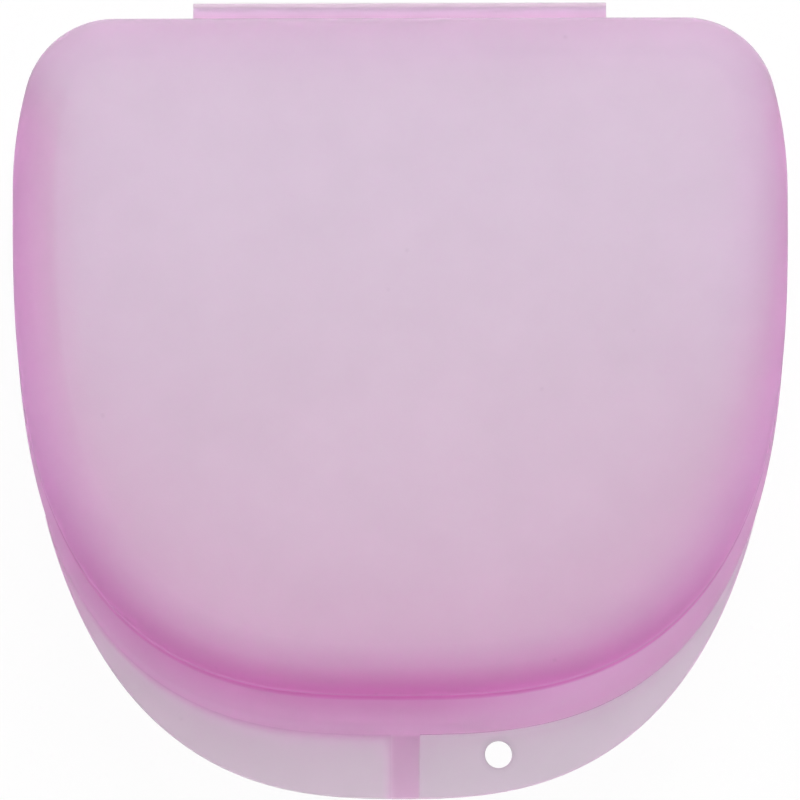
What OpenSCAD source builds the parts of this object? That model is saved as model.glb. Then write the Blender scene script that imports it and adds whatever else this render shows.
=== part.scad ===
// Hinged retainer case: two frosted bowls joined by a living hinge, with thumb tabs at the front.
// Millimetres. +Z is up, -Y is the front. The origin is the centre of the footprint, under the base.

/* [Bowls] */
// Half the width of the case at its widest
half_w = 40; // [34:0.5:48]
// From the widest line forward to the front of the rim
front_reach = 55.6; // [46:0.1:66]
// From the widest line back to the back wall
back_reach = 18; // [14:0.1:24]
// Squareness of the front curve: 2 is an ellipse
front_power = 2.88; // [2.2:0.02:3.6]
// Radius of the gentle bow of each side towards the back
side_bow_r = 42.5; // [34:0.5:120]
// Radius of the two back corners in plan
corner_r = 9.6; // [7:0.1:14]
// Height of the base, from its underside to its rim
base_h = 13; // [9:0.1:20]
// Height of the lid, from the base's rim to its top
lid_h = 13; // [9:0.1:20]
// Thickness of the walls, the floor and the top
wall = 1.4; // [1.2:0.05:2]
// Radius of the rounded edge round the lid's top
lid_edge_r = 5; // [3:0.1:6.5]
// Radius of the rounded edge round the base's floor
base_edge_r = 5; // [3:0.1:6.5]
// How far the walls draw in all round, from the rim to the rounded edge
draft = 0.25; // [0.1:0.05:1]
// How much further the front wall leans in
front_lean = 3.5; // [0:0.1:5]

/* [Closure] */
// Gap between the base's rim and the lid's rim
part_gap = 0.1; // [0.05:0.01:0.3]
// Height of the lip that stands on the base's rim
lip_h = 1.2; // [0.9:0.05:2]
// Thickness of that lip
lip_t = 0.65; // [0.5:0.01:0.75]
// Chamfer that leads the lip into the lid
lip_lead = 0.2; // [0.05:0.01:0.3]
// Clearance between the lip and the lid's skirt
lap_gap = 0.15; // [0.1:0.01:0.2]
// How far the snap bead stands out of the lip
bead_out = 0.25; // [0.18:0.01:0.3]
// Height of the snap bead
bead_h = 0.5; // [0.3:0.05:0.6]
// Width of the snap bead along the front
bead_w = 24; // [10:1:34]

/* [Thumb tabs] */
// How far the tabs reach out of the rim at the front
tab_reach = 6.6; // [4:0.1:10]
// How far the tabs' outline is drawn in from the case's width
tab_side_in = 0.3; // [0:0.1:2]
// Squareness of the tabs' outer curve
tab_power = 2.65; // [2.2:0.05:3.2]
// Thickness of each tab
tab_t = 1.2; // [0.8:0.1:2]
// How far the lid's tab runs past the middle, to the right
lid_tab_past = 1.9; // [0:0.1:6]
// How far the base's tab runs past the middle, to the left
base_tab_past = 1; // [0:0.1:6]
// Diameter of the lanyard hole in the base's tab
hole_d = 2.8; // [1.5:0.1:3.6]
// Distance of the lanyard hole to the right of the middle
hole_x = 10; // [6:0.1:18]
// Plastic between the lanyard hole and the rim
hole_edge = 1; // [0.5:0.1:1.5]

/* [Hinge] */
// Length of the hinge strip across the back
hinge_w = 43; // [20:0.5:54]
// Length of each leaf, from the back wall to the web
leaf_len = 2.05; // [1.2:0.05:4]
// Thickness of a leaf where it joins the wall
leaf_t = 1.1; // [0.7:0.05:1.8]
// Thickness of the bending web
web_t = 0.4; // [0.2:0.05:0.6]
// Radius inside the web's bend when the case is shut
web_bend_r = 0.15; // [0.1:0.01:0.4]

/* [Hidden] */

frosted_orchid = [0.85, 0.68, 0.83, 0.8];

// Steps along each stretch of the outline and round each edge
corner_steps = 7;
side_steps = 4;
front_steps = 44;
edge_steps = 6;
tab_steps = 64;

// The least corner radius that an inner outline keeps
corner_least = 0.3;
// Room that cutting shapes take past what they cut
cut = 1;
// How far the upright band of each rim reaches past the tab, leaf or lap on it
band_over = 0.2;
// Room round the snap bead in its groove
groove_room = 0.05;

web_out_r = web_bend_r + web_t;
hinge_reach = leaf_len + web_out_r;
widest_y = (tab_reach + front_reach - back_reach - hinge_reach) / 2;
back_y = widest_y + back_reach;
leaf_end_y = back_y + leaf_len;

band_h = max(tab_t, leaf_t, lip_h + lap_gap) + band_over;
lid_rim_z = base_h + part_gap;
top_z = base_h + lid_h;
hinge_z = base_h + part_gap / 2;

// Inset of the lip's outer face, and of the skirt's inner face that goes over it
lip_inset = wall - lip_t;
skirt_inset = lip_inset - lap_gap;
bead_low_z = base_h + (lip_h - lip_lead - bead_h) / 2;
bead_mid_z = bead_low_z + bead_h / 2;
bead_high_z = bead_low_z + bead_h;

// Plan outline of a bowl, drawn in by an inset. x is to the right and v is forward of the widest line.
function corner_radius(inset) = max(corner_r - inset, corner_least);
function corner_v(inset) = inset + corner_radius(inset) - back_reach;
function corner_reach(inset) = side_bow_r - inset - corner_radius(inset);
function corner_angle(inset) = asin(-corner_v(inset) / corner_reach(inset));
function corner_x(inset) =
    half_w - side_bow_r + corner_reach(inset) * cos(corner_angle(inset));

function corner_points(inset) = [
    for (i = [0:corner_steps])
        let (a = 90 + (corner_angle(inset) - 90) * i / corner_steps)
        [
            corner_x(inset) + corner_radius(inset) * cos(a),
            corner_v(inset) - corner_radius(inset) * sin(a)
        ]
];

function side_points(inset) = [
    for (i = [1:side_steps - 1])
        let (a = corner_angle(inset) * (1 - i / side_steps))
        [
            half_w - side_bow_r + (side_bow_r - inset) * cos(a),
            -(side_bow_r - inset) * sin(a)
        ]
];

// A superellipse's point at angle t, with half-axes a and b
function super_point(a, b, power, t) = [
    sign(cos(t)) * a * pow(abs(cos(t)), 2 / power),
    b * pow(abs(sin(t)), 2 / power)
];

// 1 on the stretch of the front where the snap bead runs, and 0 elsewhere
function on_bead(t) =
    abs(super_point(half_w, front_reach, front_power, t).x) < bead_w / 2 ? 1 : 0;

function front_points(inset, lean, bump) = [
    for (i = [0:front_steps])
        let (t = 180 * i / front_steps, in = inset - bump * on_bead(t))
        super_point(half_w - in, front_reach - in - lean, front_power, t)
];

function mirrored(points) = [
    for (i = [len(points) - 1:-1:0]) [-points[i].x, points[i].y]
];

function to_plan(points) = [for (p = points) [p.x, widest_y - p.y]];

function outline(inset, lean = 0, bump = 0) =
    let (right = concat(corner_points(inset), side_points(inset)))
    to_plan(concat(right, front_points(inset, lean, bump), mirrored(right)));

// A level of a bowl is [height, inset, lean, bump].
function level_points(level) = [
    for (p = outline(level[1], level[2], level[3])) [p.x, p.y, level[0]]
];

// The rounded edge of a bowl from its upright end (0) to its flat face (edge_steps)
function edge_levels(flat_z, up, radius, inset) = [
    for (i = [0:edge_steps])
        let (a = 90 * i / edge_steps)
        [
            flat_z - up * radius * (1 - sin(a)),
            inset + radius * (1 - cos(a)),
            front_lean,
            0
        ]
];

function reversed(list) = [for (i = [len(list) - 1:-1:0]) list[i]];

// A closed skin through levels that share one count of points, with a flat face at each end.
module loft(levels) {
    rings = [for (level = levels) level_points(level)];
    n = len(rings[0]);
    last = (len(rings) - 1) * n;
    sides = [
        for (k = [0:len(rings) - 2], i = [0:n - 1])
            let (j = (i + 1) % n, low = k * n, high = low + n)
            each [
                [low + i, low + j, high + i],
                [low + j, high + j, high + i]
            ]
    ];
    floor_face = [for (i = [n - 1:-1:0]) i];
    top_face = [for (i = [0:n - 1]) last + i];
    polyhedron(
        points = [for (ring = rings) each ring],
        faces = concat([floor_face], sides, [top_face]),
        convexity = 4
    );
}

// Lower bowl: floor, rounded edge, leaning wall, and the rim with its lip and snap bead
module base_tray() {
    outer_wall = [
        [base_h - band_h, 0, 0, 0],
        [base_h, 0, 0, 0]
    ];
    lip = [
        [base_h, lip_inset, 0, 0],
        [bead_low_z, lip_inset, 0, 0],
        [bead_mid_z, lip_inset, 0, bead_out],
        [bead_high_z, lip_inset, 0, 0],
        [base_h + lip_h - lip_lead, lip_inset, 0, 0],
        [base_h + lip_h, lip_inset + lip_lead, 0, 0],
        [base_h + lip_h, wall, 0, 0]
    ];
    inner_wall = [[base_h - band_h, wall, 0, 0]];
    color(frosted_orchid)
        loft(concat(
            reversed(edge_levels(0, -1, base_edge_r, draft)),
            outer_wall,
            lip,
            inner_wall,
            edge_levels(wall, -1, base_edge_r - wall, draft + wall)
        ));
}

// Upper bowl: flat top, rounded edge, leaning wall, and the rim with its skirt and snap groove
module lid_cover() {
    inner_wall = [[lid_rim_z + band_h, wall, 0, 0]];
    skirt = [
        [base_h + lip_h + lap_gap, wall, 0, 0],
        [base_h + lip_h + lap_gap, skirt_inset, 0, 0],
        [bead_high_z + groove_room, skirt_inset, 0, 0],
        [bead_mid_z, skirt_inset, 0, bead_out + groove_room],
        [bead_low_z - groove_room, skirt_inset, 0, 0],
        [lid_rim_z, skirt_inset, 0, 0]
    ];
    outer_wall = [
        [lid_rim_z, 0, 0, 0],
        [lid_rim_z + band_h, 0, 0, 0]
    ];
    color(frosted_orchid)
        loft(concat(
            reversed(edge_levels(top_z - wall, 1, lid_edge_r - wall, draft + wall)),
            inner_wall,
            skirt,
            outer_wall,
            edge_levels(top_z, 1, lid_edge_r, draft)
        ));
}

// Front half of the tabs' outer curve, closed along the widest line
function tab_curve() = to_plan([
    for (i = [0:tab_steps])
        super_point(half_w - tab_side_in, front_reach + tab_reach, tab_power, 180 * i / tab_steps)
]);

// Crescent between the rim and the tabs' outer curve, from x_low to x_high
module tab_plan(x_low, x_high) {
    intersection() {
        difference() {
            polygon(tab_curve());
            polygon(outline(0));
        }
        translate([x_low, widest_y - front_reach - tab_reach - cut])
            square([x_high - x_low, front_reach + tab_reach + cut]);
    }
}

// Forward distance of the rim's front curve at x
function rim_v(x) = front_reach * pow(1 - pow(x / half_w, front_power), 1 / front_power);

// Right-hand tab on the base, with the lanyard hole
module base_thumb_tab() {
    hole_y = widest_y - rim_v(hole_x) - hole_edge - hole_d / 2;
    color(frosted_orchid)
        difference() {
            translate([0, 0, base_h - tab_t])
                linear_extrude(tab_t)
                    tab_plan(-base_tab_past, half_w + cut);
            translate([hole_x, hole_y, base_h - tab_t - cut])
                cylinder(h = tab_t + 2 * cut, d = hole_d, $fn = 48);
        }
}

// Left-hand tab on the lid
module lid_thumb_tab() {
    color(frosted_orchid)
        translate([0, 0, lid_rim_z])
            linear_extrude(tab_t)
                tab_plan(-half_w - cut, lid_tab_past);
}

// A section in Y and Z, drawn out along the hinge strip
module along_hinge() {
    translate([-hinge_w / 2, 0, 0])
        rotate([90, 0, 90])
            linear_extrude(hinge_w)
                children();
}

// One leaf's section: it thins from the wall to the web. side is 1 above the parting plane and -1 below.
module leaf_section(side) {
    rim_off = part_gap / 2;
    polygon([
        [back_y, hinge_z + side * rim_off],
        [leaf_end_y, hinge_z + side * web_bend_r],
        [leaf_end_y, hinge_z + side * web_out_r],
        [back_y, hinge_z + side * (rim_off + leaf_t)]
    ]);
}

module base_hinge_leaf() {
    color(frosted_orchid) along_hinge() leaf_section(-1);
}

module lid_hinge_leaf() {
    color(frosted_orchid) along_hinge() leaf_section(1);
}

// Thin band bent half round behind the leaves
module hinge_web() {
    color(frosted_orchid)
        along_hinge()
            intersection() {
                translate([leaf_end_y, hinge_z])
                    difference() {
                        circle(r = web_out_r, $fn = 48);
                        circle(r = web_bend_r, $fn = 48);
                    }
                translate([leaf_end_y, hinge_z - web_out_r - cut])
                    square([web_out_r + cut, 2 * (web_out_r + cut)]);
            }
}

base_tray();
base_thumb_tab();
base_hinge_leaf();
hinge_web();
lid_cover();
lid_thumb_tab();
lid_hinge_leaf();
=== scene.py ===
# %% [markdown]
# # A frosted retainer case
# The object is a small clamshell case for a dental retainer: two D-shaped bowls of frosted orchid
# polypropylene, a living hinge at the back and two thumb tabs at the front. The real case is one moulding. It
# could be dressed solid by solid, but a seam would show wherever two solids meet. So each half is drawn here as
# one unbroken skin, and only the thin web of the hinge is a piece of its own.
#
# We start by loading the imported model. It is a fixed frame: it says where everything is and how the lid turns.

# %% Load the frame
import math
from collections import namedtuple

import bmesh
import bpy
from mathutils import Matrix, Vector
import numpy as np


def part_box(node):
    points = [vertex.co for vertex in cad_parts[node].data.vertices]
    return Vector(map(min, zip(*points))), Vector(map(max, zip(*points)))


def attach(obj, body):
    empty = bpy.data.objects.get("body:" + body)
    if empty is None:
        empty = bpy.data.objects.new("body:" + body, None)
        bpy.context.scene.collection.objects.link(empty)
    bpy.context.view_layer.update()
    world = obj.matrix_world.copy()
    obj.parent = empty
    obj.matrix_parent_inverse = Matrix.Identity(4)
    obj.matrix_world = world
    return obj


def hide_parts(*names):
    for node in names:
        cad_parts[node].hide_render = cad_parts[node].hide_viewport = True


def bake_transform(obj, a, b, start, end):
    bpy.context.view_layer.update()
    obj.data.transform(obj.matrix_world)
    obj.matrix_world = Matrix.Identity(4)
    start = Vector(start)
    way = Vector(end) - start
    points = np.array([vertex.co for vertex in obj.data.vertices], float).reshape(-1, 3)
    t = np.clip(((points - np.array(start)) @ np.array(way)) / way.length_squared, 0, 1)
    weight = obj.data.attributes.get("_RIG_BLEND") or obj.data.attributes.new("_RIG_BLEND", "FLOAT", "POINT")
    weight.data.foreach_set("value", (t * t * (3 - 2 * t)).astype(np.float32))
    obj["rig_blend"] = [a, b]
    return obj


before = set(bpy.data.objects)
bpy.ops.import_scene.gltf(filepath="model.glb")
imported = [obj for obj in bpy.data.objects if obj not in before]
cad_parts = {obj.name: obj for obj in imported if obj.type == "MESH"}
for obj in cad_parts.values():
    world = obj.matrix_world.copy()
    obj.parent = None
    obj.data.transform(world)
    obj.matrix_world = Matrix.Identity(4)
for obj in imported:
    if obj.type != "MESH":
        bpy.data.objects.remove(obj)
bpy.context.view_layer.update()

# %% [markdown]
# ## Sizes
# Heights and places could be typed in, but the frame already knows them. Every solid has a box, and a piece
# drawn from those boxes lands where the solid is. The curves of the plan and the thickness of the walls can't
# be read off a box, so they are repeated as a few driving sizes. All of them are in millimetres.

# %% Sizes read off the solids
MM = 0.001


def node_box(node):
    """Lowest and highest corner of a solid, in millimetres."""
    low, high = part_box(node)
    return low / MM, high / MM


tray_low, tray_high = node_box("base_tray")
cover_low, cover_high = node_box("lid_cover")
base_tab_low, base_tab_high = node_box("base_thumb_tab")
_, lid_tab_high = node_box("lid_thumb_tab")
leaf_low, leaf_high = node_box("lid_hinge_leaf")
web_low, web_high = node_box("hinge_web")

half_w = cover_high.x
back_y = cover_high.y
base_rim_z = base_tab_high.z
lid_rim_z = cover_low.z
top_z = cover_high.z
lip_top_z = tray_high.z
tab_t = base_tab_high.z - base_tab_low.z
tab_reach = cover_low.y - base_tab_low.y
lid_tab_end_x = lid_tab_high.x
base_tab_end_x = base_tab_low.x
leaf_t = leaf_high.z - leaf_low.z
leaf_end_y = leaf_high.y
hinge_half_w = leaf_high.x
hinge_z = (web_low.z + web_high.z) / 2
web_out_r = web_high.y - leaf_end_y
print(f"the tabs reach {tab_reach:.2f} mm and overlap by {lid_tab_end_x - base_tab_end_x:.2f} mm")
print(f"the hinge is at z = {hinge_z:.2f} mm")

# %% Sizes of the curves and walls
# From the widest line to the front of the rim
front_reach = 55.6
# A power of 2 gives an ellipse, and a higher one is squarer
front_power = 2.88
# Radius of the bowed sides, and of the corners at the back
side_bow_r = 42.5
corner_r = 9.6
widest_y = cover_low.y + front_reach
back_reach = back_y - widest_y

wall = 1.4
edge_r = 5.0
inner_edge_r = 5.5
# How far the walls spread from the rounded edge to the rim: all round, and at the front on top of that
draft = 0.25
front_lean = 3.5
print(f"widest line at y = {widest_y:.2f} mm, {back_reach:.2f} mm before the back")

# %% [markdown]
# ## The plan outline
# Seen from above, a bowl has a straight back, two round corners, gently bowed sides and a front that is squarer
# than an ellipse. A traced curve could follow the real outline too, but it would be hard to resize. Arcs and a
# superellipse give the same line from a handful of sizes. Every level of a bowl uses the same list of places
# round the outline, drawn in by an inset, so that the levels can be joined one to the next.

# %% Curve of the front


def super_point(a, b, power, t):
    """Point of a superellipse at angle t, as x and the distance forward."""
    c, s = math.cos(t), math.sin(t)
    return Vector((math.copysign(a * abs(c) ** (2 / power), c), b * abs(s) ** (2 / power)))


def angle_at(x):
    """Angle at which the rim's front curve passes x."""
    return math.acos(math.copysign(abs(x / half_w) ** (front_power / 2), x))


print(f"the base's tab ends at {math.degrees(angle_at(base_tab_end_x)):.1f} degrees of the front curve")

# %% Places along the front
FRONT_STEPS = 96
# Extra places at the end of each tab, and a little to the left of it, where the colour changes
# At the end of the lid's tab a thin painted highlight runs along its rounded edge.
LID_TAB_END_STEPS = (0, 0.25)
BASE_TAB_END_STEPS = (0, 0.12, 1.1)
# Length of the snap bead along the front
bead_w = 24.0

front_angles = [math.pi * i / FRONT_STEPS for i in range(FRONT_STEPS + 1)]
front_angles += [angle_at(lid_tab_end_x - step) for step in LID_TAB_END_STEPS]
front_angles += [angle_at(base_tab_end_x - step) for step in BASE_TAB_END_STEPS]
front_angles.sort()
on_bead = [abs(super_point(half_w, front_reach, front_power, t).x) < bead_w / 2 for t in front_angles]
print(f"{len(front_angles)} places along the front, {sum(on_bead)} of them on the snap bead")

# %% Outline of a bowl
CORNER_STEPS = 14
SIDE_STEPS = 8
BACK_STEPS = 16
LEAST_CORNER_R = 0.3


def right_points(inset):
    """Corner and side on the right, as x and the distance forward of the widest line."""
    r = max(corner_r - inset, LEAST_CORNER_R)
    corner_v = inset + r - back_reach
    reach = side_bow_r - inset - r
    turn = math.asin(-corner_v / reach)
    bow_x = half_w - side_bow_r
    corner_x = bow_x + reach * math.cos(turn)
    points = []
    for i in range(CORNER_STEPS + 1):
        a = math.pi / 2 + (turn - math.pi / 2) * i / CORNER_STEPS
        points.append(Vector((corner_x + r * math.cos(a), corner_v - r * math.sin(a))))
    for i in range(1, SIDE_STEPS):
        a = turn * (1 - i / SIDE_STEPS)
        bow = side_bow_r - inset
        points.append(Vector((bow_x + bow * math.cos(a), -bow * math.sin(a))))
    return points


def outline(inset, lean=0.0, bump=0.0):
    """Points round a bowl at one level: x and y in millimetres, starting at the right back corner."""
    right = right_points(inset)
    front = []
    for t, bead in zip(front_angles, on_bead):
        drawn_in = inset - bump if bead else inset
        front.append(super_point(half_w - drawn_in, front_reach - drawn_in - lean, front_power, t))
    left = [Vector((-p.x, p.y)) for p in reversed(right)]
    back = [
        Vector((hinge_half_w * (2 * i / BACK_STEPS - 1), inset - back_reach))
        for i in range(BACK_STEPS + 1)
    ]
    return [Vector((p.x, widest_y - p.y)) for p in right + front + left + back]


rim = outline(0)
PLACES = len(rim)
print(f"{PLACES} places round the outline")

# %% [markdown]
# ## Reach of the thumb tabs
# A thumb tab is a thin crescent on the rim, and pushing the two tabs apart opens the case. A crescent could be
# cut out of a sheet and laid against the rim. On the moulding it grows out of the rim, so we only work out how
# far it reaches at each place, square to the rim, up to the tabs' own curve. Where that curve dips inside the
# rim there is no tab.

# %% How far the tabs reach at each place
TAB_SIDE_IN = 0.3
TAB_POWER = 2.65
HALVINGS = 40


def rim_normal(i):
    """Direction out of the rim at a place."""
    along = rim[(i + 1) % PLACES] - rim[i - 1]
    return Vector((-along.y, along.x)).normalized()


def tab_curve(p):
    """Under 1 inside the tabs' curve and over 1 outside it."""
    a, b = half_w - TAB_SIDE_IN, front_reach + tab_reach
    return abs(p.x / a) ** TAB_POWER + (max(widest_y - p.y, 0) / b) ** TAB_POWER


def reach_at(i):
    """Distance from the rim to the tabs' curve, in millimetres."""
    if rim[i].y > widest_y - tab_reach or tab_curve(rim[i]) >= 1:
        return 0.0
    low, high = 0.0, 2 * tab_reach
    for _ in range(HALVINGS):
        middle = (low + high) / 2
        if tab_curve(rim[i] + middle * normals[i]) < 1:
            low = middle
        else:
            high = middle
    return low


normals = [rim_normal(i) for i in range(PLACES)]
tab_reaches = [reach_at(i) for i in range(PLACES)]
print(f"the tabs reach {max(tab_reaches):.2f} mm at most")

# %% [markdown]
# ## Where the pink is deep
# Frosted plastic looks almost white where one looks through a thin wall, and deep pink where a wall runs along
# the line of sight. A painted picture could show that, but it would hang on one way of unwrapping the mesh.
# Here each vertex carries three numbers that the material reads later. Depth says how deep the pink is, and it
# is painted less deep on the right and at the back, where the light comes from. Shade goes from the lit tints of
# the sides (0) to the darker tints of the front (1), which paint the front's shade, and tab is the share of the
# tabs' lilac grey, which paints the shade under the tabs.

# %% Front, sides and back of the outline
SIDE_FADE = 30.0
BACK_FADE = 4.0


def ease(low, high, value):
    """0 up to low, 1 from high on, and a smooth step in between."""
    w = min(max((value - low) / (high - low), 0), 1)
    return w * w * (3 - 2 * w)


front_shares = [ease(0, front_reach, widest_y - p.y) for p in rim]
right_shares = [ease(0, SIDE_FADE, p.x) for p in rim]
left_shares = [ease(0, SIDE_FADE, -p.x) for p in rim]
back_shares = [ease(widest_y + BACK_FADE, back_y - BACK_FADE, p.y) for p in rim]
front_count, back_count = (sum(s > 0.5 for s in shares) for shares in (front_shares, back_shares))
print(f"{front_count} places belong to the front and {back_count} to the back")

# %% Depth and shade at a place
# A level is one loop of a bowl. side and front are its depth of colour there, and bump is for the snap bead.
Level = namedtuple("Level", "name z inset lean side front scale shade bump", defaults=(1.0, 1.0, 0.0))
FLAT_DEPTH = 0.1
WALL_DEPTH = 0.75
# Painted light on the right and at the back: less depth there, and less of the front's painted shade on the
# right wall.
BACK_DEPTH = 0.3
RIGHT_DEPTH = 0.45
RIGHT_EDGE_DEPTH = 0.64
RIGHT_EDGE_POWER = 6
FRONT_END_DEPTH = 0.9
RIGHT_WALL_DEPTH = 0.6
RIGHT_WALL_SHADE = 0.25


def depth_at(i, level):
    """Depth of colour at a place of a level, painted less on the right and at the back, where the light comes
    from.
    """
    turn = min(max((level.side - FLAT_DEPTH) / (WALL_DEPTH - FLAT_DEPTH), 0), 1)
    right = min(level.side, FLAT_DEPTH) * RIGHT_DEPTH
    right += (RIGHT_EDGE_DEPTH - right) * turn ** RIGHT_EDGE_POWER + max(level.side - WALL_DEPTH, 0)
    side = level.side + (right - level.side) * right_shares[i]
    side += (level.side * BACK_DEPTH - side) * back_shares[i]
    right_end, left_end = (RIGHT_WALL_DEPTH, 1) if level.name == "wall" else (FRONT_END_DEPTH, FRONT_END_DEPTH)
    front = level.front * (1 + (right_end - 1) * right_shares[i] + (left_end - 1) * left_shares[i])
    return side + (front - side) * front_shares[i]


def shade_at(i, level):
    """Share of the front's painted shade at a place of a level, cut on the right wall, which paints light there.
    """
    shade = front_shares[i] * level.shade
    if level.name == "wall":
        shade *= 1 + (RIGHT_WALL_SHADE - 1) * right_shares[i]
    return shade


print(f"colour depth runs from {FLAT_DEPTH} at the rounded edge to {WALL_DEPTH} on the side walls")

# %% [markdown]
# ## Drawing a bowl
# Each half of the case is a thin-walled bowl. It could be a solid with a Solidify modifier, but its wall is
# thicker round the edge and stepped at the rim. So a bowl starts as one loop of edges round its flat face, and
# the loop is extruded level by level: round the edge, along the wall, across the rim and back on the inside. A
# face closes each end. Each vertex keeps its place and its level, so that later steps can find the part of the
# rim that they need.

# %% Put a loop on its places
FLAT_CENTRE = Vector((0, 5))


def set_loop(bm, verts, level, number):
    """Puts the vertices of a loop on their places at one level, and notes their colour."""
    whole, parts = bm.verts.layers.int, bm.verts.layers.float
    points = outline(level.inset, level.lean, level.bump)
    for v in verts:
        i = v[whole["place"]]
        p = FLAT_CENTRE + (points[i] - FLAT_CENTRE) * level.scale
        v.co = (p.x * MM, p.y * MM, level.z * MM)
        v[whole["level"]] = number
        v[parts["depth"]] = depth_at(i, level)
        v[parts["shade"]] = shade_at(i, level)


print(f"a loop shrinks to the point x = {FLAT_CENTRE.x:.0f}, y = {FLAT_CENTRE.y:.0f} mm across a flat face")

# %% Extrude a loop through the levels


def draw_bowl(levels):
    """A closed skin through the levels, as a bmesh."""
    bm = bmesh.new()
    for name in ("place", "level"):
        bm.verts.layers.int.new(name)
    for name in ("depth", "shade", "tab"):
        bm.verts.layers.float.new(name)
    place = bm.verts.layers.int["place"]
    verts = [bm.verts.new() for _ in range(PLACES)]
    for i, v in enumerate(verts):
        v[place] = i
    edges = [bm.edges.new((verts[i - 1], verts[i])) for i in range(PLACES)]
    set_loop(bm, verts, levels[0], 0)
    bmesh.ops.edgeloop_fill(bm, edges=edges)
    for number, level in enumerate(levels[1:], 1):
        made = bmesh.ops.extrude_edge_only(bm, edges=edges)["geom"]
        set_loop(bm, [v for v in made if isinstance(v, bmesh.types.BMVert)], level, number)
        edges = [e for e in made if isinstance(e, bmesh.types.BMEdge)]
    bmesh.ops.edgeloop_fill(bm, edges=edges)
    bmesh.ops.recalc_face_normals(bm, faces=bm.faces[:])
    return bm


print(f"a bowl is drawn from loops of {PLACES} edges")

# %% [markdown]
# ## Levels of a bowl
# A bowl has a flat face, a rounded edge, a wall that leans outwards at the front, and an upright band at the
# rim, where the tabs stand. A Bevel modifier could round the edge. Written out as levels it can change its
# colour step by step too, and that is what makes the edge of frosted plastic look deep.

# %% Flat face
FLAT_SCALES = (0.2, 0.4, 0.55, 0.7, 0.8, 0.9)
FLAT_POWER = 4
FLAT_FRONT_DEPTH = 0.5


def flat_face(z, radius, inset):
    """Levels across a flat face, from its middle out to the rounded edge."""
    found = []
    for scale in FLAT_SCALES:
        deep = scale ** FLAT_POWER
        found.append(
            Level("flat", z, inset + radius, front_lean, FLAT_DEPTH * deep, FLAT_FRONT_DEPTH * deep, scale)
        )
    return found


print(f"{len(FLAT_SCALES)} loops cross the flat face")

# %% Rounded edge
EDGE_STEPS = 14
EDGE_POWER = 1.6
EDGE_END_DEPTH = 2.35
# The last steps, which stand nearly upright, have a lighter tint: painted light against the dark line that shows
# there
STEEP_STEPS = 2
STEEP_DEPTH = 2.3
STEEP_SHADE = 0.5


def rounded_edge(flat_z, up, radius, inset):
    """Levels from a flat face round its edge to the start of the wall. up is 1 on the lid and -1 on the base."""
    found = []
    for i in range(EDGE_STEPS + 1):
        a = math.pi / 2 * (1 - i / EDGE_STEPS)
        z = flat_z - up * radius * (1 - math.sin(a))
        turn = math.sqrt(math.cos(a)) if i else 0
        side = FLAT_DEPTH + (WALL_DEPTH - FLAT_DEPTH) * turn
        front = FLAT_FRONT_DEPTH + (EDGE_END_DEPTH - FLAT_FRONT_DEPTH) * max(math.cos(a), 0) ** EDGE_POWER
        shade = 1
        if i > EDGE_STEPS - STEEP_STEPS:
            front, shade = STEEP_DEPTH, STEEP_SHADE
        found.append(Level("edge", z, inset + radius * (1 - math.cos(a)), front_lean, side, front, 1, shade))
    return found


print(f"the rounded edge takes {EDGE_STEPS} steps")

# %% Leaning wall and upright rim
WALL_SHARES = (0.04, 0.08, 0.16, 0.3, 0.5, 0.75, 1)
WALL_POWER = 1.5
BEND = 0.08
CREASE_DEPTH = 2.9
FRONT_DEPTH = 1.7
RIM_DEPTH = 0.8
RIM_SIDE_DEPTH = 1.3
# Towards the rim the front's painted shade fades out, which paints the foot of the wall lighter.
RIM_FADE_FROM = 0.75
RIM_FADE = 0.8
# The upright band is painted lighter at the front, against the dark line that it shows.
UPRIGHT_DEPTH = 1.0


def leaning_wall(from_z, to_z, inset, crease=CREASE_DEPTH):
    """Levels along a wall: a short bend next to the rounded edge, then a straight lean out to the rim."""
    found = []
    for w in WALL_SHARES:
        out = w * w / (2 * BEND) if w < BEND else w - BEND / 2
        out /= 1 - BEND / 2
        name, front = "wall", FRONT_DEPTH + (RIM_DEPTH - FRONT_DEPTH) * w ** WALL_POWER
        if w <= BEND:
            name, front = "crease", crease
        z = from_z + (to_z - from_z) * w
        side = WALL_DEPTH + (RIM_SIDE_DEPTH - WALL_DEPTH) * ease(0, 1, w)
        shade = 1 - RIM_FADE * ease(RIM_FADE_FROM, 1, w)
        found.append(Level(name, z, inset - draft * out, front_lean * (1 - out), side, front, 1, shade))
    return found


def upright(name, z, inset, bump=0.0):
    """A level of the upright band at the rim. bump is how far the snap bead stands out there."""
    return Level(name, z, inset, 0, RIM_SIDE_DEPTH, UPRIGHT_DEPTH, 1, 0, bump)


print(f"the wall takes {len(WALL_SHARES)} steps, and its bend {BEND:.0%} of its height")

# %% Outside and inside of a bowl


def outside(flat_z, up, band_z):
    """Levels from the flat face along the outside to the upright band."""
    return rounded_edge(flat_z, up, edge_r, draft) + leaning_wall(flat_z - up * edge_r, band_z, draft)


def inside(flat_z, up, band_z):
    """Levels from the upright band along the inside to the flat face."""
    inset = draft + wall
    wall_levels = leaning_wall(flat_z - up * inner_edge_r, band_z, inset, EDGE_END_DEPTH)[:-1]
    return wall_levels[::-1] + rounded_edge(flat_z, up, inner_edge_r, inset)[::-1]


print(f"walls are {wall} mm thick, with a radius of {edge_r} mm outside and {inner_edge_r} mm inside")

# %% [markdown]
# ## Growing tabs out of a rim
# The tabs of the real case run into the rim with a small fillet and have a soft outer edge. A separate crescent
# with bevels would leave a seam at its root. So the faces of the upright band are extruded outwards in small
# steps: the first ones draw the fillet, and the last ones bring the two faces together, which rounds the edge.

# %% Extrude faces of a rim


def band_faces(bm, places, levels):
    """Faces whose corners all lie at these places and levels."""
    place, level = bm.verts.layers.int["place"], bm.verts.layers.int["level"]
    return [f for f in bm.faces if all(v[place] in places and v[level] in levels for v in f.verts)]


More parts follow.
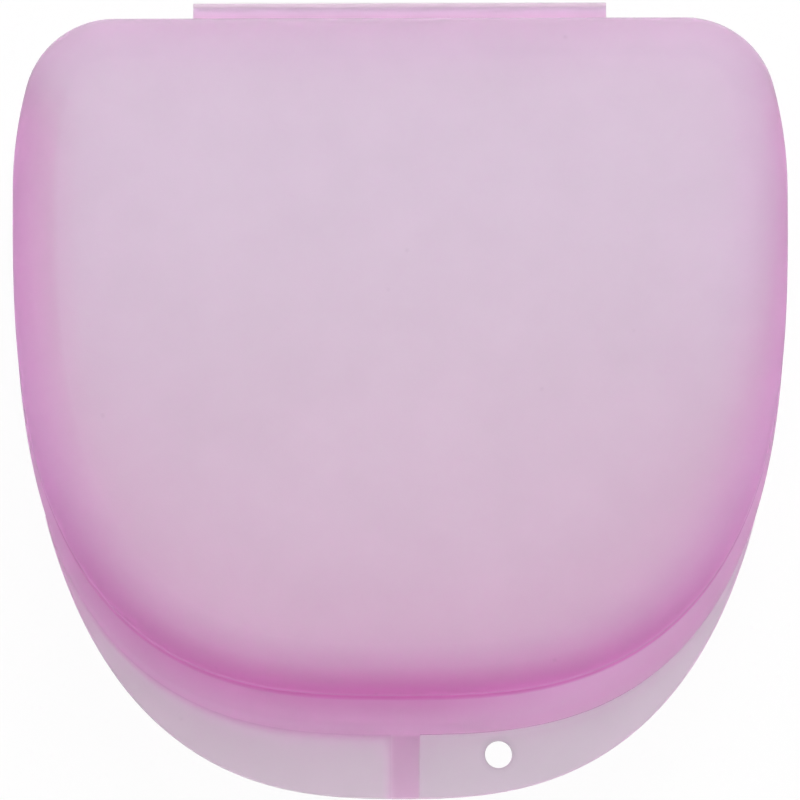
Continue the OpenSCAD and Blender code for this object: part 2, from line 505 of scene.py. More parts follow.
def grow(bm, faces, move):
    """Extrudes faces, takes the old ones out and puts new vertices where move says. Returns the end faces."""
    made = bmesh.ops.extrude_face_region(bm, geom=faces)["geom"]
    bmesh.ops.delete(bm, geom=faces, context="FACES")
    for v in made:
        if isinstance(v, bmesh.types.BMVert):
            v.co = move(v)
    return [f for f in made if isinstance(f, bmesh.types.BMFace)]


print(f"the upright band has room for a tab {tab_t:.2f} mm thick")

# %% Places of a tab
LEAST_REACH = 0.04
NEAR = 1e-6


def places_of_tab(low_x, high_x):
    """Places of the rim that carry a tab between two sides."""
    return {
        i for i in range(PLACES)
        if tab_reaches[i] > LEAST_REACH and low_x - NEAR <= rim[i].x <= high_x + NEAR
    }


lid_tab_places = places_of_tab(-half_w, lid_tab_end_x)
base_tab_places = places_of_tab(base_tab_end_x, half_w)
print(f"the lid's tab covers {len(lid_tab_places)} places and the base's tab {len(base_tab_places)}")

# %% Colour along the lid's tab
# A look is depth, shade and share of the tabs' lilac grey, which paints the shade under the tabs.
ROOT_DEPTH = 2.0
# The root is pinker and darker than the blade: the pink of the fillet, with painted shade in the corner.
SHADED_ROOT_LOOK = (ROOT_DEPTH, 0.85, 0.6)
OVERLAP_LOOK = (0.8, 0.3, 0)
BORDER_W = 0.2
BLADE_SHADE = 0.65
BLADE_FROM_X = -30
BLADE_OVER = 65
TIP_REACH = (0.8, 2.4)


def mixed(a, b, w):
    """Values between two lists of values."""
    return tuple(p + (q - p) * w for p, q in zip(a, b))


def lid_tab_look(i):
    """Looks of the lid's tab at a place: at the root, on the blade and at the edge."""
    x = rim[i].x
    # The end of the tab is painted light: a painted highlight along its rounded edge.
    if x > lid_tab_end_x - NEAR:
        return (RIM_DEPTH, 0, 0), (0, 0, 0), (0, 0, 0)
    if x > base_tab_end_x - NEAR:
        return OVERLAP_LOOK, OVERLAP_LOOK, OVERLAP_LOOK
    if x > base_tab_end_x - BORDER_W:
        return SHADED_ROOT_LOOK, SHADED_ROOT_LOOK, SHADED_ROOT_LOOK
    shade = BLADE_SHADE * min(max((x - BLADE_FROM_X) / BLADE_OVER, 0), 1)
    tip = 1 - ease(*TIP_REACH, tab_reaches[i])
    blade = mixed((ROOT_DEPTH, shade, 1), SHADED_ROOT_LOOK, tip)
    return SHADED_ROOT_LOOK, blade, blade


print(f"the two tabs overlap between x = {base_tab_end_x:.2f} and {lid_tab_end_x:.2f} mm")

# %% Colour along the base's tab
BASE_TAB_SHADE = 0.53
# The root is painted lighter, against the shadow that the lid's rim casts on the tab.
BASE_LIT_ROOT_LOOK = (0, BASE_TAB_SHADE, 0.6)
BASE_BLADE_LOOK = (RIM_SIDE_DEPTH, BASE_TAB_SHADE, 1)
BASE_EDGE_LOOK = (2.3, 0, 0.2)


def base_tab_look(i):
    """Looks of the base's tab, the same at each place: a root painted lighter against the shadow under the lid's
    rim, the lilac blade with its painted shade, and a pink edge.
    """
    return BASE_LIT_ROOT_LOOK, BASE_BLADE_LOOK, BASE_EDGE_LOOK


print(f"the base's tab has a shade of {BASE_TAB_SHADE}")

# %% Section of a thumb tab
ROOT_R = 0.35
ROOT_STEPS = 4
BLADE_STEPS = (0.1, 0.2, 0.3, 0.45, 0.7)
BLADE_FADE = (-0.2, 0.4)
TAB_EDGE_R = 0.2
ROUND_STEPS = 3


def tab_section(reach, looks):
    """Steps out along a tab: distance, lower and upper face above the rim, and the look there."""
    at_root, on_blade, at_edge = looks
    root, edge = min(ROOT_R, reach / 2), min(TAB_EDGE_R, reach / 4)
    steps = []
    for k in range(1, ROOT_STEPS + 1):
        a = math.pi / 2 * k / ROOT_STEPS
        steps.append((root * (1 - math.cos(a)), 0, tab_t + ROOT_R * (1 - math.sin(a)), at_root))
    for w in BLADE_STEPS:
        out = root + (reach - edge - root) * w
        steps.append((out, 0, tab_t, mixed(at_root, on_blade, ease(*BLADE_FADE, w))))
    for k in range(ROUND_STEPS + 1):
        a = math.pi / 2 * k / ROUND_STEPS
        thin = edge * (1 - math.cos(a))
        out = reach - edge + edge * math.sin(a)
        steps.append((out, thin, tab_t - thin, mixed(on_blade, at_edge, k / ROUND_STEPS)))
    return steps


print(f"a tab has a fillet of {ROOT_R} mm at its root and an edge radius of {TAB_EDGE_R} mm")

# %% Grow a thumb tab


def grow_tab(bm, places, levels, rim_z, side, look):
    """A thumb tab along these places of the rim. side is 1 on the lid and -1 on the base."""
    place, level = bm.verts.layers.int["place"], bm.verts.layers.int["level"]
    painted = [bm.verts.layers.float[name] for name in ("depth", "shade", "tab")]
    sections = {i: tab_section(tab_reaches[i], look(i)) for i in places}
    faces = band_faces(bm, places, levels)
    heights = {v[level]: side * (v.co.z / MM - rim_z) / (tab_t + ROOT_R) for f in faces for v in f.verts}

    for k in range(ROOT_STEPS + len(BLADE_STEPS) + ROUND_STEPS + 1):

        def move(v):
            out, low, high, seen = sections[v[place]][k]
            for layer, value in zip(painted, seen):
                v[layer] = value
            p = rim[v[place]] + normals[v[place]] * out
            return Vector((p.x, p.y, rim_z + side * (low + (high - low) * heights[v[level]]))) * MM

        faces = grow(bm, faces, move)


print(f"a tab grows in {ROOT_STEPS + len(BLADE_STEPS) + ROUND_STEPS + 1} steps")

# %% [markdown]
# ## Growing hinge leaves
# Behind the straight back of each rim runs a flat leaf, and the web between the two leaves bends when the lid
# opens. A leaf could be a box of its own. It is part of the same moulding, so it is extruded from the rim in
# one step, and its end is drawn thin to meet the web.

# %% Grow a hinge leaf
web_t = 0.4
LEAF_DEPTH = 1.6
LEAF_SHARE = 0.25


def grow_leaf(bm, places, levels, side):
    """A hinge leaf on the straight back of the rim. side is 1 on the lid and -1 on the base."""
    level = bm.verts.layers.int["level"]
    depth, tab = bm.verts.layers.float["depth"], bm.verts.layers.float["tab"]
    thin_z = {levels[0]: web_out_r - web_t, levels[1]: web_out_r}

    def move(v):
        v[depth], v[tab] = LEAF_DEPTH, LEAF_SHARE
        return Vector((v.co.x, leaf_end_y * MM, (hinge_z + side * thin_z[v[level]]) * MM))

    grow(bm, band_faces(bm, places, levels), move)


def dress_rim(bm, levels, tab_places, rim_z, side, look):
    """Grows the thumb tab and the hinge leaf out of a bowl's rim."""
    names = [level.name for level in levels]
    tab_face, leaf_face, rim_edge = (names.index(name) for name in ("tab_face", "leaf_face", "rim"))
    grow_tab(bm, tab_places, range(tab_face - 1, rim_edge + 1), rim_z, side, look)
    grow_leaf(bm, hinge_places, [rim_edge, leaf_face], side)


hinge_places = set(range(PLACES - BACK_STEPS - 1, PLACES))
print(f"the hinge strip covers {len(hinge_places)} places")

# %% [markdown]
# ## From a bmesh to a piece
# A bmesh is a drawing board. To become a piece it is copied into a mesh and an object, and told which body it
# rides on, and the solids it stands for are hidden. Smooth shading suits a moulding, but the tab faces have real
# corners.
# So edges over an angle are marked sharp, and a Weighted Normal modifier keeps the flat faces flat.

# %% Finish a piece
SHARP_ANGLE = math.radians(32)


def finish_piece(name, bm, body, nodes):
    """Turns a bmesh into a piece that rides on a body, and hides the solids that it stands for."""
    mesh = bpy.data.meshes.new(name)
    bmesh.ops.recalc_face_normals(bm, faces=bm.faces[:])
    bm.to_mesh(mesh)
    bm.free()
    for polygon in mesh.polygons:
        polygon.use_smooth = True
    mesh.set_sharp_from_angle(angle=SHARP_ANGLE)
    piece = bpy.data.objects.new(name, mesh)
    bpy.context.scene.collection.objects.link(piece)
    weighted = piece.modifiers.new("weighted normals", "WEIGHTED_NORMAL")
    weighted.keep_sharp = True
    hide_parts(*nodes)
    if body:
        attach(piece, body)
    print(f"{name}: {len(mesh.polygons)} faces")
    return piece


print(f"edges over {math.degrees(SHARP_ANGLE):.0f} degrees stay sharp")

# %% [markdown]
# ## The lid
# The lid is the upper bowl. Its rim has a skirt that goes over a low lip on the base, so that the case shuts in
# a half-lap, and a shallow groove in the skirt catches the snap bead. The groove could be cut with a Boolean.
# Three more levels, drawn out only along the front, give it without any cutting.

# %% Levels of the lid
lip_t = 0.65
lip_lead = 0.2
lap_gap = 0.15
bead_out = 0.25
bead_h = 0.5
groove_room = 0.05

skirt_inset = wall - lip_t - lap_gap
skirt_top_z = lip_top_z + lap_gap
bead_mid_z = (base_rim_z + lip_top_z - lip_lead) / 2
bead_low_z, bead_high_z = bead_mid_z - bead_h / 2, bead_mid_z + bead_h / 2
lid_band_z = lid_rim_z + tab_t + ROOT_R

lid_levels = flat_face(top_z, edge_r, draft) + outside(top_z, 1, lid_band_z)
lid_levels += [
    upright("tab_face", lid_rim_z + tab_t, 0),
    upright("leaf_face", lid_rim_z + leaf_t, 0),
    upright("rim", lid_rim_z, 0),
    upright("skirt", lid_rim_z, skirt_inset),
    upright("skirt", bead_low_z - groove_room, skirt_inset),
    upright("skirt", bead_mid_z, skirt_inset, bead_out + groove_room),
    upright("skirt", bead_high_z + groove_room, skirt_inset),
    upright("skirt", skirt_top_z, skirt_inset),
    upright("inner", skirt_top_z, wall),
    upright("inner", lid_band_z, wall),
]
lid_levels += inside(top_z - wall, 1, lid_band_z)
print(f"the lid has {len(lid_levels)} levels, and its skirt is {skirt_inset:.2f} mm thick")

# %% Draw the lid
lid_bm = draw_bowl(lid_levels)
dress_rim(lid_bm, lid_levels, lid_tab_places, lid_rim_z, 1, lid_tab_look)
lid = finish_piece("lid_moulding", lid_bm, "lid", ["lid_cover", "lid_thumb_tab", "lid_hinge_leaf"])

# %% [markdown]
# ## The base
# The base is the lower bowl, drawn upside down in the same way. Its rim carries the lip with the snap bead, and
# the top of the lip slopes a little to lead the skirt over it. It could be the lid mirrored, but the rims
# differ and the tabs are on opposite sides, so it gets levels of its own.

# %% Levels of the base
lip_inset = wall - lip_t
base_band_z = base_rim_z - tab_t - ROOT_R

base_levels = outside(tray_low.z, -1, base_band_z)
base_levels += [
    upright("tab_face", base_rim_z - tab_t, 0),
    upright("leaf_face", base_rim_z - leaf_t, 0),
    upright("rim", base_rim_z, 0),
    upright("lip", base_rim_z, lip_inset),
    upright("lip", bead_low_z, lip_inset),
    upright("lip", bead_mid_z, lip_inset, bead_out),
    upright("lip", bead_high_z, lip_inset),
    upright("lip", lip_top_z - lip_lead, lip_inset),
    upright("lip", lip_top_z, lip_inset + lip_lead),
    upright("inner", lip_top_z, wall),
    upright("inner", base_band_z, wall),
]
base_levels += inside(tray_low.z + wall, -1, base_band_z)
print(f"the base has {len(base_levels)} levels, and its lip stands {lip_top_z - base_rim_z:.2f} mm high")

# %% Draw the base
base_bm = draw_bowl(base_levels)
dress_rim(base_bm, base_levels, base_tab_places, base_rim_z, -1, base_tab_look)
print(f"the base has {len(base_bm.faces)} faces before its hole is cut")

# %% [markdown]
# ## The lanyard hole
# A round hole goes through the base's tab, for a cord or a ring. The faces round it could be rebuilt by hand. A
# Boolean with a turned cutter is simpler, and a cutter that widens where it leaves each face gives the hole its
# rounded lips in the same step.

# %% Place and section of the hole
hole_x = 10.0
hole_r = 1.4
hole_edge = 1.0
HOLE_LIP_R = 0.25
HOLE_LIP_STEPS = 5
CUT_PAST = 1

rim_reach = front_reach * (1 - (hole_x / half_w) ** front_power) ** (1 / front_power)
hole_centre = Vector((hole_x, widest_y - rim_reach - hole_edge - hole_r, 0)) * MM


def cutter_profile():
    """Half section of the bobbin-shaped cutter, as radius and height."""
    low, high = base_rim_z - tab_t, base_rim_z
    turns = [math.pi / 2 * i / HOLE_LIP_STEPS for i in range(HOLE_LIP_STEPS + 1)]
    lips = [(hole_r + HOLE_LIP_R * (1 - math.sin(a)), HOLE_LIP_R * (1 - math.cos(a))) for a in turns]
    profile = [(hole_r + HOLE_LIP_R, low - CUT_PAST)]
    profile += [(r, low + z) for r, z in lips]
    profile += [(r, high - z) for r, z in reversed(lips)]
    return profile + [(hole_r + HOLE_LIP_R, high + CUT_PAST)]


print(f"the hole is at x = {hole_x} mm, y = {hole_centre.y / MM:.2f} mm")

# %% Turn a cutter for the hole
HOLE_STEPS = 48


def hole_cutter():
    """A bobbin-shaped cutter for the lanyard hole."""
    cutter = bmesh.new()
    verts = [cutter.verts.new(hole_centre + Vector((r, 0, z)) * MM) for r, z in cutter_profile()]
    edges = [cutter.edges.new(pair) for pair in zip(verts, verts[1:])]
    bmesh.ops.spin(
        cutter, geom=verts + edges, cent=hole_centre, axis=(0, 0, 1),
        angle=2 * math.pi, steps=HOLE_STEPS, use_merge=True,
    )
    bmesh.ops.holes_fill(cutter, edges=cutter.edges[:], sides=0)
    bmesh.ops.recalc_face_normals(cutter, faces=cutter.faces[:])
    mesh = bpy.data.meshes.new("hole_cutter")
    cutter.to_mesh(mesh)
    cutter.free()
    return bpy.data.objects.new("hole_cutter", mesh)


print(f"the cutter is turned in {HOLE_STEPS} steps")

# %% Cut the hole
HOLE_RING_W = 0.6


def cut_with(bm, cutter):
    """The bmesh with the cutter taken out of it, and the tab's colour on the wall of the hole."""
    mesh = bpy.data.meshes.new("uncut")
    bm.to_mesh(mesh)
    bm.free()
    uncut = bpy.data.objects.new("uncut", mesh)
    for thing in (uncut, cutter):
        bpy.context.scene.collection.objects.link(thing)
    taken = uncut.modifiers.new("hole", "BOOLEAN")
    taken.object = cutter
    taken.operation = "DIFFERENCE"
    taken.solver = "EXACT"
    bpy.context.view_layer.update()
    seen = uncut.evaluated_get(bpy.context.evaluated_depsgraph_get())
    cut = bmesh.new()
    cut.from_mesh(seen.to_mesh())
    shade, tab = cut.verts.layers.float["shade"], cut.verts.layers.float["tab"]
    for v in cut.verts:
        if (v.co.xy - hole_centre.xy).length < (hole_r + HOLE_RING_W) * MM:
            v[shade], v[tab] = BASE_TAB_SHADE, 1
    for thing in (uncut, cutter):
        bpy.data.objects.remove(thing)
    return cut


base_bm = cut_with(base_bm, hole_cutter())
base = finish_piece("base_moulding", base_bm, "base", ["base_tray", "base_thumb_tab", "base_hinge_leaf"])

# %% [markdown]
# ## The hinge web
# The web is the thin band that bends each time the case is opened. A bone or a curve could bend a flat strip.
# Here one thin section is spun half round behind the leaves, which is its shape on the shut case. Its lower
# edge then stays with the base, its upper edge goes with the lid, and the frame turns what lies in between.

# %% Spin the hinge web
WEB_DEPTH = 0.9
WEB_STEPS = 16
MERGE_WITHIN = 1e-7

web_bm = bmesh.new()
for layer_name in ("depth", "shade"):
    web_bm.verts.layers.float.new(layer_name)
web_in_r = web_out_r - web_t
corners = (
    (-hinge_half_w, web_out_r), (hinge_half_w, web_out_r), (hinge_half_w, web_in_r), (-hinge_half_w, web_in_r),
)
section = web_bm.faces.new([web_bm.verts.new(Vector((x, leaf_end_y, hinge_z - r)) * MM) for x, r in corners])
bmesh.ops.spin(
    web_bm,
    geom=[section] + section.edges[:] + section.verts[:],
    cent=Vector((0, leaf_end_y, hinge_z)) * MM,
    axis=(1, 0, 0),
    angle=math.pi,
    steps=WEB_STEPS,
)
bmesh.ops.remove_doubles(web_bm, verts=web_bm.verts[:], dist=MERGE_WITHIN)
# Shade 1 gives the web the front's darker tints, which paint shade.
for v in web_bm.verts:
    v[web_bm.verts.layers.float["depth"]] = WEB_DEPTH
    v[web_bm.verts.layers.float["shade"]] = 1
print(f"the web is {web_t} mm thick, with {len(web_bm.verts)} vertices")

# %% Blend the web from the base to the lid
web = finish_piece("hinge_web_band", web_bm, None, ["hinge_web"])
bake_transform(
    web, "base", "lid",
    start=Vector((0, leaf_end_y, hinge_z - web_out_r)) * MM,
    end=Vector((0, leaf_end_y, hinge_z + web_out_r)) * MM,
)

# %% [markdown]
# ## Frosted polypropylene
# The plastic is a milky, see-through orchid with a fine matt grain. Light goes in, scatters and comes out
# again. True scattering inside the plastic could show that, but it needs many more samples. A rough glass with
# an absorbing volume comes close: the longer the way through the plastic, the deeper the pink. The tints are
# read off the three numbers on the vertices.

# %% Tints of the plastic
DEEPEST = 3.0
# Side tints are lit; front tints are darker, painted shade on top of the wall's deep pink.
SIDE_LIT_TINTS = (
    (0.0, (0.862, 0.855, 0.864)),
    (0.1, (0.834, 0.826, 0.842)),
    (0.25, (0.814, 0.796, 0.808)),
    (0.4, (0.814, 0.742, 0.788)),
    (0.8, (0.89, 0.715, 0.842)),
    (1.3, (0.94, 0.8, 0.93)),
    (1.6, (0.905, 0.83, 0.93)),
    (DEEPEST, (0.9, 0.25, 0.7)),
)
FRONT_SHADE_TINTS = (
    (0.0, (0.862, 0.855, 0.864)),
    (0.3, (0.822, 0.756, 0.796)),
    (1.0, (0.815, 0.697, 0.787)),
    (2.0, (0.775, 0.385, 0.667)),
    (DEEPEST, (0.71, 0.235, 0.55)),
)
# The tabs' tints, from the left end to the right: darker and greyer than the bowls, painted shade under the
# tabs.
TAB_SHADE_TINTS = ((0.708, 0.643, 0.692), (0.765, 0.76, 0.775))
print(f"{len(SIDE_LIT_TINTS)} tints for the sides, {len(FRONT_SHADE_TINTS)} for the front, {len(TAB_SHADE_TINTS)} for the tabs")

# %% Read and set the sockets of nodes


def painted_value(tree, name):
    """One of the numbers on the vertices."""
    node = tree.nodes.new("ShaderNodeAttribute")
    node.attribute_name = name
    return node.outputs["Fac"]


def fill_socket(tree, socket, value):
    """Links an output to a socket, or sets a plain number or colour on it."""
    if isinstance(value, bpy.types.NodeSocket):
        tree.links.new(value, socket)
    else:
        socket.default_value = value


print("nodes can read what is painted on the vertices")

# %% Calculate and mix with nodes
# Range of an untouched Map Range node
ALL = (0, 1)
# Places of the colour sockets on a Mix node
MIX_A, MIX_B, MIX_RESULT = 6, 7, 2


def map_range(tree, value, source, target):
    """A value moved from one range to another."""
    node = tree.nodes.new("ShaderNodeMapRange")
    for name, number in zip(("From Min", "From Max", "To Min", "To Max"), (*source, *target)):
        node.inputs[name].default_value = number
    tree.links.new(value, node.inputs["Value"])
    return node.outputs["Result"]


def calculate(tree, operation, a, b):
    """Two values put together by a Math node."""
    node = tree.nodes.new("ShaderNodeMath")
    node.operation = operation
    fill_socket(tree, node.inputs[0], a)
    fill_socket(tree, node.inputs[1], b)
    return node.outputs["Value"]


def mix_colours(tree, share, a, b):
    """A colour between two others."""
    node = tree.nodes.new("ShaderNodeMix")
    node.data_type = "RGBA"
    tree.links.new(share, node.inputs["Factor"])
    fill_socket(tree, node.inputs[MIX_A], a)
    fill_socket(tree, node.inputs[MIX_B], b)
    return node.outputs[MIX_RESULT]


def noise(tree, place, scale, detail):
    """A cloudy pattern."""
    node = tree.nodes.new("ShaderNodeTexNoise")
    node.inputs["Scale"].default_value = scale
    node.inputs["Detail"].default_value = detail
    tree.links.new(place, node.inputs["Vector"])
    return node.outputs["Fac"]


print(f"colours are mixed on sockets {MIX_A} and {MIX_B} of a Mix node")

# %% Body colour


def tint_ramp(tree, share, stops):
    """The tint at a depth, as a Color Ramp."""
    node = tree.nodes.new("ShaderNodeValToRGB")
    elements = node.color_ramp.elements
    elements[0].color = (*stops[0][1], 1)
    elements[1].color = (*stops[-1][1], 1)
    for deep, colour in stops[1:-1]:
        elements.new(deep / DEEPEST).color = (*colour, 1)
    tree.links.new(share, node.inputs["Fac"])
    return node.outputs["Color"]


def body_colour(tree):
    """Tint of the bowls and tabs, from the three numbers on the vertices, with the painted shade of the front
    and of the tabs.
    """
    share = map_range(tree, painted_value(tree, "depth"), (0, DEEPEST), ALL)
    shade = painted_value(tree, "shade")
    bowl = mix_colours(tree, shade, tint_ramp(tree, share, SIDE_LIT_TINTS), tint_ramp(tree, share, FRONT_SHADE_TINTS))
    blade = mix_colours(tree, shade, *((*tint, 1) for tint in TAB_SHADE_TINTS))
    return mix_colours(tree, painted_value(tree, "tab"), bowl, blade)


print(f"the ramps end at a depth of {DEEPEST}")

# %% Clouding, specks and the painted shade ring at the hole
RING_FROM, RING_TO = -0.05, 0.7
RING_LEVEL = (0.9, 1)
CLOUD_SCALE, CLOUD_DETAIL = 220, 2
CLOUD_RANGE, CLOUD_LEVEL = (0.3, 0.7), (0.985, 1.015)
SPECK_SCALE = 150
SPECK_RANGE, SPECK_LEVEL = (0.01, 0.05), (0.9, 1)


def shade_ring_at_hole(tree, place):
    """Painted shade round the lanyard hole, a little darker where the lip bends the light away."""
    flat = tree.nodes.new("ShaderNodeVectorMath")
    flat.operation = "MULTIPLY"
    flat.inputs[1].default_value = (1, 1, 0)
    tree.links.new(place, flat.inputs[0])
    away = tree.nodes.new("ShaderNodeVectorMath")
    away.operation = "DISTANCE"
    away.inputs[1].default_value = hole_centre
    tree.links.new(flat.outputs["Vector"], away.inputs[0])
    ring = ((hole_r + RING_FROM) * MM, (hole_r + RING_TO) * MM)
    return map_range(tree, away.outputs["Value"], ring, RING_LEVEL)


def mottling(tree, place):
    """How light the plastic is at a place: soft clouds, a few specks and the painted shade ring at the hole."""
    clouds = map_range(tree, noise(tree, place, CLOUD_SCALE, CLOUD_DETAIL), CLOUD_RANGE, CLOUD_LEVEL)
    dust = tree.nodes.new("ShaderNodeTexVoronoi")
    dust.inputs["Scale"].default_value = SPECK_SCALE
    tree.links.new(place, dust.inputs["Vector"])
    specks = map_range(tree, dust.outputs["Distance"], SPECK_RANGE, SPECK_LEVEL)
    return calculate(tree, "MULTIPLY", calculate(tree, "MULTIPLY", clouds, specks), shade_ring_at_hole(tree, place))


print(f"specks lie about {1000 / SPECK_SCALE:.0f} mm apart")

# %% Fine matt grain
GRAIN_SCALE, GRAIN_DETAIL = 5000, 1
GRAIN_STRENGTH, GRAIN_HEIGHT = 0.15, 0.00003
MATT = (0.8, 0.9)


def add_grain(tree, plastic, place):
    """The fine texture of the mould: a low bump, and a roughness that changes with it."""
    grain = noise(tree, place, GRAIN_SCALE, GRAIN_DETAIL)
    bump = tree.nodes.new("ShaderNodeBump")
    bump.inputs["Strength"].default_value = GRAIN_STRENGTH
    bump.inputs["Distance"].default_value = GRAIN_HEIGHT
    tree.links.new(grain, bump.inputs["Height"])
    tree.links.new(bump.outputs["Normal"], plastic.inputs["Normal"])
    tree.links.new(map_range(tree, grain, ALL, MATT), plastic.inputs["Roughness"])


print(f"grains are about {1000 / GRAIN_SCALE:.1f} mm across")

# %% Put the plastic together
PLASTIC_IOR = 1.3
PLASTIC_CLEAR = 0.75
VOLUME_TINT = (0.88, 0.5, 0.86, 1)
VOLUME_DENSITY = 180


def frosted_polypropylene():
    """The material of all three pieces."""
    material = bpy.data.materials.new("frosted_polypropylene")
    material.use_nodes = True
    tree = material.node_tree
    surface = tree.nodes["Principled BSDF"]
    place = tree.nodes.new("ShaderNodeTexCoord").outputs["Object"]
    mottled = tree.nodes.new("ShaderNodeVectorMath")
    mottled.operation = "SCALE"
    tree.links.new(body_colour(tree), mottled.inputs["Vector"])
    tree.links.new(mottling(tree, place), mottled.inputs["Scale"])
    tree.links.new(mottled.outputs["Vector"], surface.inputs["Base Color"])
    add_grain(tree, surface, place)
    surface.inputs["IOR"].default_value = PLASTIC_IOR
    surface.inputs["Transmission Weight"].default_value = PLASTIC_CLEAR
    volume = tree.nodes.new("ShaderNodeVolumeAbsorption")
    volume.inputs["Color"].default_value = VOLUME_TINT
    volume.inputs["Density"].default_value = VOLUME_DENSITY
    tree.links.new(volume.outputs["Volume"], tree.nodes["Material Output"].inputs["Volume"])
    return material


plastic = frosted_polypropylene()
for piece in (lid, base, web):
    piece.data.materials.append(plastic)
print(f"{plastic.name}: {len(plastic.node_tree.nodes)} nodes, on 3 pieces")

# %% [markdown]
# ## Floor
# The case lies on a plain white ground. More light could bleach a grey floor, but it would bleach the case too.
# So the floor's own colour is pale, and Light Path lets the camera, and what is seen in or through the plastic,
# see it as an even white. Other light still falls on it as on any floor.

# %% Lay the floor
FLOOR_HALF = 1.5
# The floor lies a hair under the case, so that the two faces don't fight for the same place.
FLOOR_DROP = 0.00003

floor_bm = bmesh.new()
bmesh.ops.create_grid(floor_bm, x_segments=1, y_segments=1, size=FLOOR_HALF)
bmesh.ops.translate(floor_bm, vec=(0, 0, -FLOOR_DROP), verts=floor_bm.verts[:])
floor_mesh = bpy.data.meshes.new("studio_floor")
floor_bm.to_mesh(floor_mesh)
floor_bm.free()
floor = bpy.data.objects.new("studio_floor", floor_mesh)
bpy.context.scene.collection.objects.link(floor)
print(f"the floor is {2 * FLOOR_HALF} m wide")

# %% Finish of the floor
FLOOR_COLOUR = (0.9, 0.9, 0.9, 1)
FLOOR_ROUGHNESS = 0.9
# How much of the even white each kind of ray sees
WHITE_SHARES = (("Is Camera Ray", 0.95), ("Is Glossy Ray", 0.8), ("Is Transmission Ray", 0.8))


def highest(tree, values):
    """The highest of several values."""
    top = values[0]
    for other in values[1:]:
        top = calculate(tree, "MAXIMUM", top, other)
    return top


white = bpy.data.materials.new("studio_white")
white.use_nodes = True
floor_tree = white.node_tree
ground = floor_tree.nodes["Principled BSDF"]
ground.inputs["Base Color"].default_value = FLOOR_COLOUR
ground.inputs["Roughness"].default_value = FLOOR_ROUGHNESS
glow = floor_tree.nodes.new("ShaderNodeEmission")
rays = floor_tree.nodes.new("ShaderNodeLightPath")
either = floor_tree.nodes.new("ShaderNodeMixShader")
seen_white = [calculate(floor_tree, "MULTIPLY", rays.outputs[kind], much) for kind, much in WHITE_SHARES]
floor_tree.links.new(highest(floor_tree, seen_white), either.inputs["Fac"])
floor_tree.links.new(ground.outputs["BSDF"], either.inputs[1])
floor_tree.links.new(glow.outputs["Emission"], either.inputs[2])
floor_tree.links.new(either.outputs["Shader"], floor_tree.nodes["Material Output"].inputs["Surface"])
floor_mesh.materials.append(white)
print(f"{white.name}: {len(floor_tree.nodes)} nodes")

# %% [markdown]
# ## Light
# The case stands in even studio light: a pale world all round, a large soft lamp above and behind, and three
# low fills. One bare lamp would give hard shadows. A world that is brighter towards the horizon than overhead
# lights the walls as well as the top, and the camera still sees it as white.

# %% World
HORIZON_LEVEL, OVERHEAD_LEVEL = 0.9, 0.4

scene = bpy.context.scene
scene.view_settings.view_transform = "Standard"
world = bpy.data.worlds.new("studio_world")
scene.world = world
world.use_nodes = True
sky_tree = world.node_tree
background = sky_tree.nodes["Background"]
background.inputs["Color"].default_value = (1, 1, 1, 1)
sky_rays = sky_tree.nodes.new("ShaderNodeLightPath")
sky_place = sky_tree.nodes.new("ShaderNodeTexCoord")
sky_parts = sky_tree.nodes.new("ShaderNodeSeparateXYZ")
sky_tree.links.new(sky_place.outputs["Generated"], sky_parts.inputs["Vector"])
sky_level = sky_tree.nodes.new("ShaderNodeMix")
sky_level.inputs["B"].default_value = 1.0
seen_rays = highest(sky_tree, [sky_rays.outputs[kind] for kind, _ in WHITE_SHARES])
sky_tree.links.new(seen_rays, sky_level.inputs["Factor"])
sky = map_range(sky_tree, sky_parts.outputs["Z"], ALL, (HORIZON_LEVEL, OVERHEAD_LEVEL))
sky_tree.links.new(sky, sky_level.inputs["A"])
sky_tree.links.new(sky_level.outputs["Result"], background.inputs["Strength"])
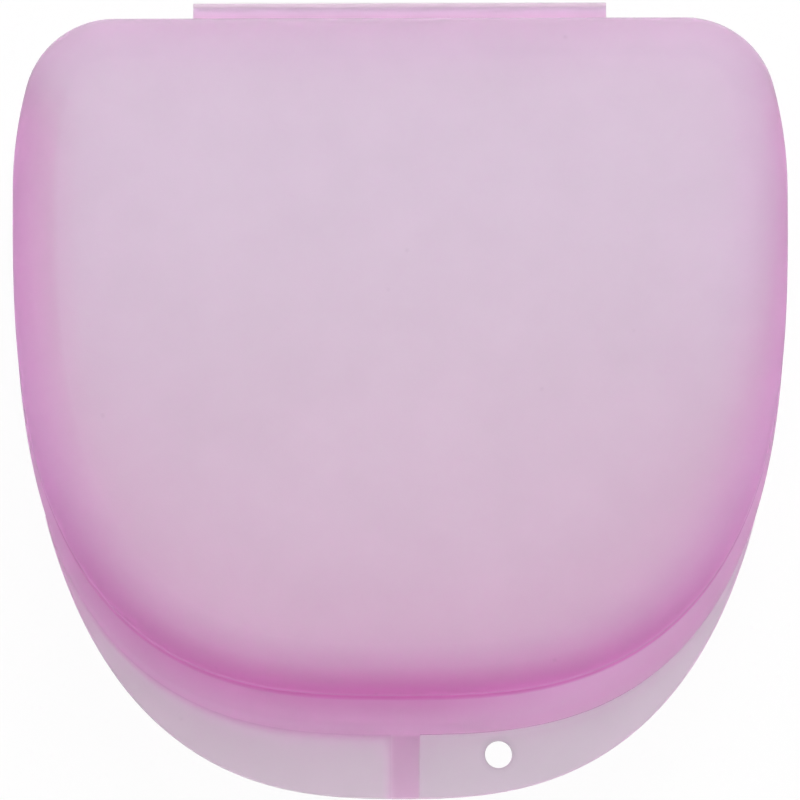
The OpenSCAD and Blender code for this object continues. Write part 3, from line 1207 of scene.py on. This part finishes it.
print(f"the world goes from {HORIZON_LEVEL} at the horizon to {OVERHEAD_LEVEL} overhead")

# %% Lamps
LAMP_SIZE = 0.5
# Name, place, what it is aimed at, and power in watts
LAMPS = (
    ("key_softbox", (0.14, 0.48, 0.65), (0, 0, 0), 3.1),
    ("left_fill", (-0.45, -0.55, 0.16), (0, -0.02, 0.013), 1.1),
    ("right_fill", (0.45, -0.55, 0.16), (0, -0.02, 0.013), 1.2),
    ("back_fill", (0, 0.7, 0.16), (0, 0.03, 0.013), 2.2),
)


def soft_lamp(name, place, target, power):
    """A round area lamp, turned to face its target."""
    data = bpy.data.lights.new(name, "AREA")
    data.shape = "DISK"
    data.size = LAMP_SIZE
    data.energy = power
    lamp = bpy.data.objects.new(name, data)
    lamp.location = place
    lamp.rotation_euler = (Vector(target) - Vector(place)).to_track_quat("-Z", "Y").to_euler()
    scene.collection.objects.link(lamp)


for lamp_settings in LAMPS:
    soft_lamp(*lamp_settings)
print("lamps:", ", ".join(name for name, *_ in LAMPS))

# %% [markdown]
# ## Camera
# The photo looks almost straight down, tipped a few degrees towards the front, from far enough away that the
# walls hardly spread. An orthographic camera could do, but then the wall at the front would show too little. A
# long lens keeps the slight perspective, and its length is worked out from the size of the case in the picture.

# %% Camera
TILT, ROLL = math.radians(5), math.radians(-0.15)
DISTANCE = 0.6
SENSOR_MM = 36
PICTURE_PX = 800
FOCAL_PX = 5788.4
AIM_X, AIM_FORWARD = -0.07, 20.93
CLIP_START = 0.01

aim = Vector((AIM_X, widest_y - AIM_FORWARD, base_rim_z)) * MM
camera_data = bpy.data.cameras.new("camera")
camera_data.sensor_width = SENSOR_MM
camera_data.lens = FOCAL_PX * SENSOR_MM / PICTURE_PX
camera_data.clip_start = CLIP_START
camera = bpy.data.objects.new("camera", camera_data)
camera.rotation_euler = (TILT, 0, ROLL)
camera.location = aim + DISTANCE * (camera.rotation_euler.to_matrix() @ Vector((0, 0, 1)))
scene.collection.objects.link(camera)
scene.camera = camera
print(f"a lens of {camera_data.lens:.0f} mm at {DISTANCE} m")
